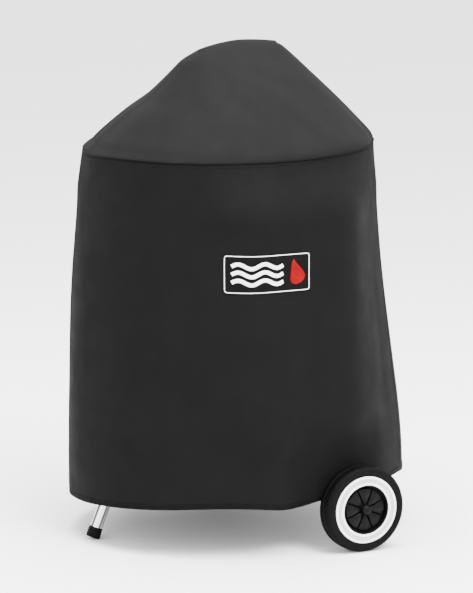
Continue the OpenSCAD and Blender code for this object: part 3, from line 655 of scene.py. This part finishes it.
def cloth_panel(name, columns, rows, point, material, node, slot, wrap=False):
    """One cut piece of cloth: point(u, v) with u and v from 0 to 1, UVs in metres."""
    verts, uvs = [], []
    count = columns if wrap else columns + 1
    for c in range(count):
        for r in range(rows + 1):
            p, uv = point(c / columns, r / rows)
            verts.append(p)
            uvs.append(uv)
    faces = grid_faces(count, rows + 1, wrap=wrap)
    panel = make(name, verts, faces, material, "cover", (node,), slot, uvs)
    add_modifier(panel, "SOLIDIFY", thickness=CLOTH, offset=-1.0, use_rim=True)
    return panel


def side_panel(name, start, end, columns, node, laps=False):
    """Side panel from the angle start to end; laps lays its first edge over its neighbour."""
    rows = 130

    def point(u, v):
        angle = lerp(start, end, u)
        bottom = hem_height(angle) + 0.001
        z = lerp(bottom, seam_height(angle) - 0.0012, v)
        lap = LAP * (1 - smooth(turn_between(angle, start) / LAP_TURN)) if laps else 0.0
        return wall_point(angle, z, lap), (math.radians(angle) * CLOTH_REACH, z)

    return cloth_panel(name, columns, rows, point, M["cloth"], node, "cover_cloth")


def top_panel():
    """The cone from the seam up to the ridge, closed along the ridge's middle."""
    columns, ridge_rows = 288, 8
    rows = TOP_ROWS - 1 + ridge_rows

    def point(u, v):
        angle = 360 * u
        row = int(round(v * rows))
        if row < TOP_ROWS:
            p = top_point(angle, *top_shares(angle, row))
        else:
            share = (row - TOP_ROWS + 1) / ridge_rows
            edge = top_point(angle, *top_shares(angle, TOP_ROWS - 1))
            middle = Vector((edge.x * 0.96 + RIDGE_X * 0.04, 0.0, edge.z + 0.0038))
            t = math.sin(share * math.pi / 2)
            p = edge.lerp(middle, share)
            p.z = edge.z + (middle.z - edge.z) * t
        return p, (p.x, p.y)

    # the top panel's cloth is painted lighter, standing for the light from above
    return cloth_panel("cover_panel_top", columns, rows, point, M["top_cloth_painted_lighter"], "cover_top",
                       "cover_cloth_top", wrap=True)


def piping():
    """Cord sewn into the shoulder seam."""
    steps, cord_r = 288, 0.0017
    points = []
    for i in range(steps):
        angle = 360 * i / steps
        a = math.radians(angle)
        r = wall_radius(angle, SEAM_Z) + 0.0002
        points.append(Vector((SEAM_X + r * math.cos(a), r * math.sin(a), seam_height(angle) - 0.0002)))
    verts, faces = sweep(points, cord_r, 8, closed=True)
    return make("cover_piping_cord", verts, faces, M["tape"], "cover", ("cover_piping",), "cover_tape")


def hem_tape():
    """Binding folded over the raw edge: outside, under and inside."""
    outline = [
        (0.0001, TAPE), (0.0007, TAPE - 0.0006), (0.0008, 0.0004), (0.0004, -0.0010), (-0.0006, -0.0015),
        (-0.0016, -0.0010), (-0.0020, 0.0004), (-0.0019, TAPE - 0.0006), (-0.0013, TAPE)
    ]
    columns = 420
    verts = []
    for c in range(columns):
        angle = 360 * c / columns
        bottom = hem_height(angle)
        verts += [wall_point(angle, bottom + up, out) for out, up in outline]
    faces = grid_faces(columns, len(outline), wrap=True, flip=True)
    return make("cover_hem_tape", verts, faces, M["tape"], "cover", ("cover_hem",), "cover_tape")


def stitch_row(path, thick=0.00045, pitch=0.0050):
    """Short thread tubes along a list of points, one per stitch."""
    parts = []
    travelled, start = 0.0, None
    for a, b in zip(path, path[1:]):
        before = travelled
        travelled += (b - a).length
        if int(before / pitch) != int(travelled / pitch):
            start = b
        if start is not None and (b - start).length >= 0.62 * pitch:
            parts.append(sweep([start, b], thick, 5))
            start = None
    return parts


def stitching():
    """Twin rows beside the side seams, single rows on both sides of the shoulder seam and at the hem."""
    around, down = 1900, 900
    parts = []
    for seam in SIDE_SEAMS:
        for shift in (0.5, 1.5) if seam == SIDE_SEAMS[0] else (-0.5, -1.5):
            angle = seam + shift
            low, high = hem_height(angle) + TAPE, seam_height(angle) - 0.004
            heights = [lerp(low, high, i / down) for i in range(down + 1)]
            parts += stitch_row([wall_point(angle, z, 0.0011) for z in heights])
    ring = [360 * i / around for i in range(around + 1)]
    parts += stitch_row([wall_point(a, seam_height(a) - 0.0075, 0.0002) for a in ring])
    parts += stitch_row([wall_point(a, hem_height(a) + TAPE - 0.003, 0.0010) for a in ring])
    parts += stitch_row([top_point(a, *top_shares(a, 2)) for a in ring])
    verts, faces = join_parts(*parts)
    return make("cover_stitching", verts, faces, M["thread"], "cover", (), "cover_tape")


# ---------------------------------------------------------------- badge


def badge_point(u, v, out):
    """u metres along the wall and v metres up, from the middle of the badge."""
    radius = wall_radius(BADGE_ANGLE, BADGE_Z)
    return wall_point(BADGE_ANGLE + math.degrees(u / radius), BADGE_Z + v, out)


def rounded_half(u, width, height, corner):
    """Half the height of a rounded rectangle at u metres from its middle."""
    d = max(0.0, abs(u) - (width / 2 - corner))
    return height / 2 - corner + math.sqrt(max(0.0, corner * corner - d * d))


def badge_plate():
    columns, rows = 60, 12
    verts, uvs = [], []
    for c in range(columns + 1):
        u = -math.cos(math.pi * c / columns) * BADGE_W / 2
        half = rounded_half(u, BADGE_W, BADGE_H, BADGE_CORNER)
        for r in range(rows + 1):
            v = lerp(-half, half, r / rows)
            verts.append(badge_point(u, v, BADGE_OUT))
            uvs.append((u, v))
    plate = make("cover_badge_patch", verts, grid_faces(columns + 1, rows + 1), M["badge"], "cover",
                 ("cover_badge",), "badge_cloth", uvs)
    add_modifier(plate, "SOLIDIFY", thickness=0.0010, offset=-1.0)
    return plate


def ribbon(path, width, closed=False):
    """Flat embroidered band along (u, v) points on the badge."""
    out, top = THREAD_OUT, THREAD_OUT + THREAD_THICK
    count = len(path)
    verts = []
    for i, (u, v) in enumerate(path):
        after = path[(i + 1) % count] if closed or i < count - 1 else path[i]
        before = path[i - 1] if closed or i > 0 else path[i]
        du, dv = after[0] - before[0], after[1] - before[1]
        length = math.hypot(du, dv)
        nu, nv = -dv / length * width / 2, du / length * width / 2
        verts += [
            badge_point(u - nu, v - nv, out), badge_point(u - nu * 0.8, v - nv * 0.8, top),
            badge_point(u + nu * 0.8, v + nv * 0.8, top), badge_point(u + nu, v + nv, out)
        ]
    faces = grid_faces(count, 4, wrap=closed, flip=True)
    if not closed:
        faces += [(0, 1, 2, 3)[::-1], tuple(len(verts) - 4 + i for i in range(4))]
    return verts, faces


def badge_border():
    """Pale border with rounded corners, just inside the patch's edge."""
    inset, corner, width, longest = 0.0020, 0.0050, 0.0015, 0.004
    w, h = BADGE_W / 2 - inset, BADGE_H / 2 - inset
    path = []
    for cx, cy, turn in ((w, h, 0), (-w, h, 90), (-w, -h, 180), (w, -h, 270)):
        mx, my = cx - math.copysign(corner, cx), cy - math.copysign(corner, cy)
        for i in range(9):
            a = math.radians(turn + 90 * i / 8)
            path.append((mx + corner * math.cos(a), my + corner * math.sin(a)))
    dense = []
    for (u0, v0), (u1, v1) in zip(path, path[1:] + path[:1]):
        steps = max(1, int(math.hypot(u1 - u0, v1 - v0) / longest))
        dense += [(lerp(u0, u1, i / steps), lerp(v0, v1, i / steps)) for i in range(steps)]
    return ribbon(dense, width, closed=True)


def heat_waves():
    """Three plain wavy bands, standing for rising heat."""
    left, right, pitch, swing, width, steps = -0.074, 0.030, 0.016, 0.0045, 0.0078, 48
    parts = []
    for k in range(3):
        path = []
        for i in range(steps + 1):
            t = i / steps
            path.append((lerp(left, right, t), pitch * (1 - k) + swing * math.sin(t * 4 * math.pi)))
        parts.append(ribbon(path, width))
    return join_parts(*parts)


def flame():
    """Plain drop-shaped flame, filled by rows."""
    rows, columns = 26, 8
    middle, bottom, top = 0.058, -0.024, 0.027
    verts = []
    for r in range(rows + 1):
        t = r / rows
        v = lerp(bottom, top, t)
        half = 0.0175 * math.sin(math.pi * t**0.62) ** 0.9 * (1 - 0.25 * t) + 0.0001
        sway = 0.0045 * math.sin(t * math.pi * 1.5)
        for c in range(columns + 1):
            verts.append(badge_point(middle + sway + lerp(-half, half, c / columns), v, 0.0021))
    return verts, grid_faces(rows + 1, columns + 1, flip=True)


def badge():
    plate = badge_plate()
    border = make("cover_badge_border", *badge_border(), M["white_thread"], "cover", (), "badge_cloth")
    waves = make("cover_badge_waves", *heat_waves(), M["white_thread"], "cover", (), "badge_cloth")
    drop_shape = make("cover_badge_flame", *flame(), M["red_thread"], "cover", (), "badge_cloth")
    add_modifier(drop_shape, "SOLIDIFY", thickness=THREAD_THICK, offset=-1.0)


def build_cover():
    top = top_panel()
    front = side_panel("cover_panel_front", *SIDE_SEAMS, 330, "cover_side_front", laps=True)
    back = side_panel("cover_panel_back", SIDE_SEAMS[1], SIDE_SEAMS[0] + 360, 390, "cover_side_back")
    cord, tape, threads = piping(), hem_tape(), stitching()
    badge()


# ---------------------------------------------------------------- wheels


def wheel_frame(side):
    """Local Z points outward along the axle."""
    return Matrix.Translation(AXLE) @ Matrix.Rotation(math.radians(-90 * side), 4, "X")


def side_name(side):
    return "front" if side < 0 else "rear"


def tyre(name, side, body):
    """Moulded tyre: rounded shoulders and two rings of cleats with a groove between them."""
    place = wheel_frame(side)
    width = TYRE_OUT - TYRE_IN
    steps, teeth = 780, 130
    groove_deep, cleat_deep, step_deep = 0.0036, 0.0012, 0.0022
    profile = curve(
        [
            (HUB_R + 0.0004, 0.10), (BAND_OUT, 0.02), (TYRE_R * 0.93, 0.03), (TYRE_R * 0.975, 0.10),
            (TYRE_R * 0.997, 0.22), (TYRE_R, 0.40), (TYRE_R, 0.60), (TYRE_R * 0.997, 0.76),
            (TYRE_R * 0.978, 0.88), (TYRE_R * 0.94, 0.955), (TYRE_R * 0.88, 0.975),
            (BAND_OUT + 0.0016, 0.972), (BAND_OUT + 0.0004, 0.945), (HUB_R + 0.0004, 0.935)
        ], 66)
    verts = []
    for i in range(steps):
        a = 2 * math.pi * i / steps
        for r, share in profile:
            tread = smooth((r - TYRE_R * 0.955) / (TYRE_R * 0.02))
            stagger = 0.5 if share > 0.5 else 0.0
            cleat = 1 if (a * teeth / (2 * math.pi) + stagger) % 1.0 < 0.5 else 0
            groove = 1 - smooth((abs(share - 0.45) - 0.045) / 0.020)
            step = math.exp(-(((share - 0.925) / 0.016) ** 2))
            r -= tread * (groove_deep * groove + cleat_deep * (1 - groove) * (1 - cleat)) + step_deep * step
            verts.append(place @ Vector((r * math.cos(a), r * math.sin(a), TYRE_IN + width * share)))
    faces = grid_faces(steps, len(profile), wrap=True)
    rows = len(profile)
    for i in range(steps):
        n = (i + 1) % steps
        faces.append((i * rows + rows - 1, n * rows + rows - 1, n * rows, i * rows))
    return make(name, verts, faces, M["tread"], body, (f"wheel_{side_name(side)}_tyre",), "wheel_tread")


def band(side, body):
    """White ring with one wide, shallow groove, as moulded; the groove's faces are painted mid grey as shade
    in it.
    """
    face = TYRE_OUT
    mid = (BAND_IN + BAND_OUT) / 2
    half = (BAND_OUT - BAND_IN) / 2
    profile = [
        (BAND_IN, face - 0.0028), (BAND_IN, face - 0.0010), (BAND_IN + 0.0006, face - 0.0003),
        (BAND_IN + 0.0016, face), (mid - half * 0.50, face), (mid - half * 0.46, face - 0.0006),
        (mid + half * 0.46, face - 0.0006), (mid + half * 0.50, face), (BAND_OUT - 0.0016, face),
        (BAND_OUT - 0.0006, face - 0.0003), (BAND_OUT, face - 0.0010), (BAND_OUT, face - 0.0028)
    ]
    rows, groove_row = len(profile) - 1, 5
    verts, faces = lathe(profile, WHEEL_STEPS, wheel_frame(side), closed=True)
    ring = make(f"wheel_{side_name(side)}_white_ring", verts, faces, M["band"], body,
                (f"wheel_{side_name(side)}_band",), "white_band")
    ring.data.materials.append(M["band_groove_painted_shade"])
    # the groove row takes the painted-shade grey
    for i, face_item in enumerate(ring.data.polygons):
        if i < WHEEL_STEPS * rows and i % rows == groove_row:
            face_item.material_index = 1
    return ring


def hub(side, body):
    """Moulded hub: eight raised panels parted by narrow slots, a deep rim and a sleeve on the axle."""
    place = wheel_frame(side)
    steps, rows, panels, slot_deep = 384, 34, 8, 0.0042
    low, high = 0.0100, HUB_R - 0.0036
    face = TYRE_OUT - 0.0075
    verts = []
    for i in range(steps):
        a = 2 * math.pi * i / steps
        off = (a * panels / (2 * math.pi)) % 1.0
        for k in range(rows):
            t = k / (rows - 1)
            r = lerp(low, high, t)
            slot = abs(off - 0.5) * 2 * math.pi / panels * r
            ridge = smooth((slot - 0.0006) / 0.0014)
            end = smooth((0.93 - t) / 0.05)
            crown = 0.0024 * math.sin(math.pi * min(1.0, t * 1.05)) + 0.0012 * math.cos(2 * math.pi * off)
            h = face - slot_deep + (slot_deep + crown) * ridge * end
            verts.append(place @ Vector((r * math.cos(a), r * math.sin(a), h)))
    front = (verts, grid_faces(steps, rows, wrap=True))
    back = TYRE_IN + 0.006
    sleeve_in = sleeve_end(side)
    shell = [
        (high, face - slot_deep), (high + 0.0008, TYRE_OUT - 0.0020), (high + 0.0014, TYRE_OUT - 0.0008),
        (HUB_R - 0.0006, TYRE_OUT - 0.0006), (HUB_R, TYRE_OUT - 0.0012), (HUB_R, back), (HUB_R - 0.004, back),
        (HUB_R - 0.004, face - 0.012), (0.0130, face - 0.012), (0.0130, sleeve_in + 0.001),
        (0.0120, sleeve_in), (0.0062, sleeve_in), (0.0062, face - 0.006), (low, face - slot_deep)
    ]
    verts, faces = join_parts(front, lathe(shell, WHEEL_STEPS, place))
    return make(f"wheel_{side_name(side)}_hub_moulding", verts, faces, M["wheel"], body,
                (f"wheel_{side_name(side)}_hub",), "wheel_plastic")


def sleeve_end(side):
    """How far from the middle the hub's sleeve ends on the axle."""
    low, high = span(f"wheel_{side_name(side)}_hub")
    return min(abs(low.y), abs(high.y))


def hub_cap(side, body):
    """Domed cap over the end of the axle."""
    out = max(abs(CAP_LOW.y), abs(CAP_HIGH.y))
    base = TYRE_OUT - 0.0115
    profile = curve(
        [
            (0.0108, base), (0.0108, base + 0.006), (0.0104, base + 0.011), (0.0088, base + 0.0155),
            (0.0048, out - 0.0008), (0.0, out)
        ], 30)
    verts, faces = lathe(profile, 96, wheel_frame(side))
    return make(f"wheel_{side_name(side)}_centre_cap", verts, faces, M["wheel"], body,
                (f"wheel_{side_name(side)}_cap",), "wheel_plastic")


def build_wheels():
    for side, body in ((-1, "front_wheel"), (1, "rear_wheel")):
        tyre(f"wheel_{side_name(side)}_tyre_tread", side, body)
        band(side, body)
        hub(side, body)
        hub_cap(side, body)


# ---------------------------------------------------------------- kettle


def quarter(rx, rz, steps):
    """Quarter ellipse from (rx, 0) to (0, rz)."""
    turns = [math.pi / 2 * i / steps for i in range(steps + 1)]
    return [(rx * math.cos(a), rz * math.sin(a)) for a in turns]


def cut(obj, cutters):
    """Takes solid shapes out of obj and removes them."""
    for cutter in cutters:
        modifier = obj.modifiers.new("cut", "BOOLEAN")
        modifier.operation = "DIFFERENCE"
        modifier.object = cutter
        modifier.solver = "EXACT"
    graph = bpy.context.evaluated_depsgraph_get()
    mesh = bpy.data.meshes.new_from_object(obj.evaluated_get(graph))
    obj.modifiers.clear()
    obj.data = mesh
    for cutter in cutters:
        bpy.data.objects.remove(cutter, do_unlink=True)


def plug(radius, low, high, place=Matrix(), steps=64):
    """Plain cylinder for cutting."""
    verts, faces = lathe([(0.0, low), (radius, low), (radius, high), (0.0, high)], steps, place)
    mesh = bpy.data.meshes.new("plug")
    mesh.from_pydata([tuple(v) for v in verts], [], faces)
    mesh.validate()
    obj = bpy.data.objects.new("plug", mesh)
    bpy.context.scene.collection.objects.link(obj)
    weld = obj.modifiers.new("weld", "WELD")
    weld.merge_threshold = WELD_GAP
    return obj


def shade_by_angle(obj):
    for face in obj.data.polygons:
        face.use_smooth = True
    obj.data.set_sharp_from_angle(angle=math.radians(35))


def build_bowl():
    """Bowl with a rolled bead, three ash vents and the sweeper's shaft hole."""
    shaft_hole_r, vent_r, vent_at = 0.00406, 0.017, 0.058
    outer = [(r, BOWL_RIM_Z - z) for r, z in quarter(BOWL_R, BOWL_DEPTH, 72)]
    inner = [(r, BOWL_RIM_Z - z) for r, z in quarter(BOWL_R - SHEET, BOWL_DEPTH - SHEET, 72)]
    bead = [
        (BOWL_R - 0.0008 + BEAD_R * math.cos(a), BOWL_RIM_Z + BEAD_R * math.sin(a))
        for a in (math.radians(200 - 230 * i / 16) for i in range(17))
    ]
    profile = [(0.0, outer[-1][1])] + outer[::-1][1:-1] + bead[::-1]
    profile += inner[1:-1] + [(0.0, inner[-1][1])]
    verts, faces = lathe(profile, ROUND_STEPS)
    bowl = make("bowl_enamelled", verts, faces, M["enamel"], "stand", ("bowl",), "enamel_black")
    add_modifier(bowl, "WELD", merge_threshold=WELD_GAP)
    holes = [plug(shaft_hole_r, BOWL_LOW.z - 0.02, BOWL_LOW.z + 0.03)]
    for angle in (30, 150, 270):
        turn = Matrix.Rotation(math.radians(angle), 4, "Z") @ Matrix.Translation((vent_at, 0, 0))
        holes.append(plug(vent_r, BOWL_LOW.z - 0.02, BOWL_LOW.z + 0.04, turn))
    cut(bowl, holes)
    shade_by_angle(bowl)


def damper_frame():
    joint = next(j for j in frame["record"]["behaviour"]["joints"] if j["name"] == "damper_turn")
    normal = Vector(joint["axis"]).normalized()
    turn = Matrix.Rotation(math.atan2(normal.x, normal.z), 4, "Y")
    return Matrix.Translation(joint["pos_m"]) @ turn


def build_lid():
    """Dome with a flange over the bowl's rim, and the vented seat of the damper let into it."""
    seat_r, seat_hole_r, seat_low, seat_high = 0.0515, 0.0031, -0.0062, -0.0042
    vent_r, vent_at = 0.010, 0.028
    place = damper_frame()
    outer = [(r, LID_Z + z) for r, z in quarter(DOME_R, DOME_H, 84)]
    inner = [(r, LID_Z + z) for r, z in quarter(DOME_R - SHEET, DOME_H - SHEET, 84)]
    drop_z = LID_LOW.z
    flange = [
        (FLANGE_R - SHEET, drop_z + 0.0004), (FLANGE_R - SHEET * 0.7, drop_z),
        (FLANGE_R - SHEET * 0.3, drop_z), (FLANGE_R, drop_z + 0.0006),
        (FLANGE_R, LID_Z + 0.0012), (FLANGE_R - 0.0006, LID_Z + 0.0024)
    ]
    ledge_r, ledge_low, ledge_high = BOWL_R - 0.003, LID_Z + 0.0008, LID_Z + 0.0026
    ledge = [(ledge_r, ledge_high), (ledge_r, ledge_low), (FLANGE_R - SHEET, ledge_low)]
    start = next(i for i, p in enumerate(outer) if p[1] > ledge_high)
    rise = next(i for i, p in enumerate(inner) if p[0] < BOWL_R - 0.002)
    crown = [(0.0, outer[-1][1]), (0.0, inner[-1][1])]
    profile = flange + outer[start:-1] + crown + inner[rise:-1][::-1] + ledge
    verts, faces = lathe(profile, ROUND_STEPS, closed=True)
    lid = make("lid_enamelled", verts, faces, M["enamel"], "lid", ("lid_shell",), "enamel_black")
    add_modifier(lid, "WELD", merge_threshold=WELD_GAP)
    cut(lid, [plug(0.050, seat_high, 0.02, place, 128)])
    seat_profile = [
        (seat_hole_r, seat_low), (seat_r, seat_low), (seat_r, seat_high), (seat_hole_r, seat_high)
    ]
    seat_verts, seat_faces = lathe(seat_profile, 128, place, closed=True)
    seat = make("lid_damper_seat", seat_verts, seat_faces, M["enamel"], "lid", (), "enamel_black")
    vents = []
    for k in range(4):
        turn = place @ Matrix.Rotation(math.pi / 2 * k, 4, "Z") @ Matrix.Translation((vent_at, 0, 0))
        vents.append(plug(vent_r, -0.012, 0.008, turn))
    cut(seat, vents)
    for obj in (lid, seat):
        shade_by_angle(obj)


# ---------------------------------------------------------------- finishes of the CAD nodes

FINISHES = {
    "foot_tube": ["leg_foot"],
    "front_tube": ["leg_wheel_front"],
    "rear_tube": ["leg_wheel_rear"],
    "rubber": ["leg_cap"],
    "painted": [
        "leg_sockets", "handle_front_straps", "handle_rear_straps", "lid_handle_strap", "lid_hook"
    ],
    "zinc": [
        "axle", "axle_retainers", "handle_bolts", "lid_handle_bolts", "damper_rivet", "sweeper_shaft",
        "sweeper_clip"
    ],
    "enamel": ["charcoal_supports", "cooking_supports"],
    "aluminium": [
        "ash_can_clips", "lid_heat_shield", "damper_disc", "sweeper_blades", "sweeper_lever", "ash_can"
    ],
    "plated": ["wire_rack", "grate_frame", "grate_flap_right", "grate_flap_left", "can_handle_wire"],
    "grate": ["charcoal_grate"],
    "nylon": ["handle_front_grip", "handle_rear_grip", "lid_handle_grip", "sweeper_grip", "can_handle_grip"],
}


def finish_nodes():
    for key, nodes in FINISHES.items():
        for node in nodes:
            obj = frame["nodes"][node]
            if not obj.material_slots:
                obj.data.materials.append(M[key])
            for slot in obj.material_slots:
                slot.material = M[key]


# ---------------------------------------------------------------- studio


def build_studio():
    """Plain floor and an even white surrounding."""
    size = 30
    corners = [(-size, -size, 0), (size, -size, 0), (size, size, 0), (-size, size, 0)]
    mesh = bpy.data.meshes.new("floor")
    mesh.from_pydata(corners, [], [(0, 1, 2, 3)])
    mesh.materials.append(floor_material())
    floor = bpy.data.objects.new("floor", mesh)
    bpy.context.scene.collection.objects.link(floor)
    world = bpy.data.worlds.new("studio")
    world.use_nodes = True
    background = world.node_tree.nodes["Background"]
    background.inputs["Color"].default_value = (1.0, 1.0, 1.0, 1.0)
    background.inputs["Strength"].default_value = 3.0
    bpy.context.scene.world = world


def area_light(name, place, target, size, power):
    data = bpy.data.lights.new(name, "AREA")
    data.shape = "DISK"
    data.size = size
    data.energy = power
    obj = bpy.data.objects.new(name, data)
    obj.location = place
    obj.rotation_euler = (Vector(target) - Vector(place)).to_track_quat("-Z", "Y").to_euler()
    bpy.context.scene.collection.objects.link(obj)


def build_lights():
    middle = (0, 0, 0.5)
    area_light("key", (0.6, -3.0, 4.2), middle, 2.6, 480)
    area_light("fill", (-3.4, -2.4, 1.8), middle, 2.6, 40)
    area_light("top", (-0.2, -0.3, 4.2), middle, 3.0, 520)


def build_camera():
    """Stands to the left of the front and a little above, far enough off to flatten the view."""
    azimuth, elevation = math.radians(-FRONT_TURN), math.radians(10)
    distance, lens_mm, sensor_mm, look_z, look_right = 6.34, 186.495784, 36, 0.4781, 0.0072
    right = Vector((math.cos(azimuth), math.sin(azimuth), 0))
    target = Vector((0, 0, look_z)) + right * look_right
    level = math.cos(elevation)
    toward = Vector((math.sin(azimuth) * level, -math.cos(azimuth) * level, math.sin(elevation)))
    data = bpy.data.cameras.new("camera")
    data.sensor_width = sensor_mm
    data.lens = lens_mm
    data.clip_end = 100
    camera = bpy.data.objects.new("camera", data)
    camera.location = target + toward * distance
    camera.rotation_euler = (-toward).to_track_quat("-Z", "Y").to_euler()
    bpy.context.scene.collection.objects.link(camera)
    bpy.context.scene.camera = camera


build_camera()
build_studio()
build_lights()
build_cover()
build_wheels()
build_bowl()
build_lid()
finish_nodes()


def plain(box):
    return [[float(x) for x in corner] for corner in box]
